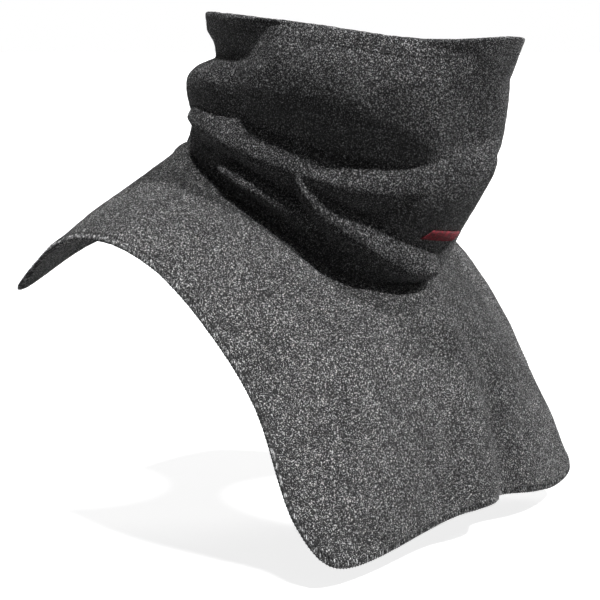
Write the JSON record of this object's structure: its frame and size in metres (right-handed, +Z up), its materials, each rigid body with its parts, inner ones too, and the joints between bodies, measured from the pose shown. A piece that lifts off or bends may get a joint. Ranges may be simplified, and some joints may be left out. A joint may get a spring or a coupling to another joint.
{
  "type": "turtleneck dickey",
  "caption": "Slouched turtleneck collar of thick dark grey pile cloth, sewn to a short bib that covers the chest, the tops of the shoulders and the upper back.",
  "frame": {"origin": "middle of the neck seam, where the wearer's neck passes through the bib", "axes": "+Z up, -Y towards the wearer's front, -X towards the wearer's right"},
  "size_m": [0.308, 0.2941, 0.2891],
  "materials": {
    "neck_cloth": "brushed pile cloth, dark charcoal grey, matt",
    "bib_cloth": "brushed pile cloth, charcoal grey flecked lighter, matt"
  },
  "bodies": {
    "root": {"neck_tube": "neck_cloth", "bib": "bib_cloth"}
  },
  "joints": []
}
